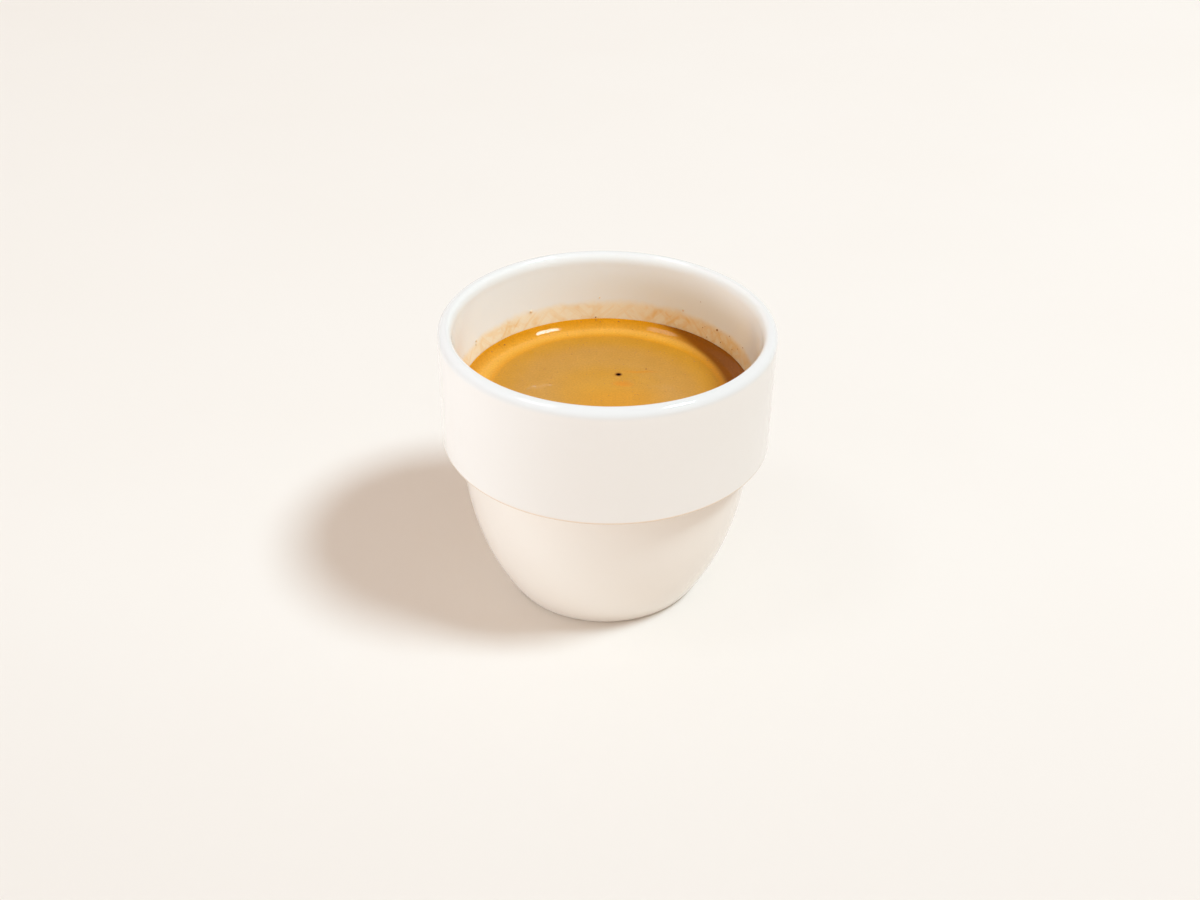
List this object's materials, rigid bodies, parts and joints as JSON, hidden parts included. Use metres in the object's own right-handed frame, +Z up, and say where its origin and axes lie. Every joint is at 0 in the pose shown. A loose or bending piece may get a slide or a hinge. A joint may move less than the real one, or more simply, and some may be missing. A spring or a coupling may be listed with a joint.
{
  "type": "americano in a cup",
  "caption": "Handleless glazed porcelain stacking cup with a stepped band, filled with black coffee under a thin golden crema.",
  "frame": {"origin": "middle of the foot, on the table", "axes": "+Z up along the cup's axis; the cup looks the same all round"},
  "size_m": [0.084, 0.084, 0.0742],
  "materials": {
    "porcelain": "clear gloss glaze over white porcelain, bare on the foot ring",
    "coffee": "dark clear liquid",
    "crema": "wet golden foam"
  },
  "bodies": {
    "root": {"cup": "porcelain", "coffee": "coffee", "crema": "crema"}
  },
  "joints": []
}
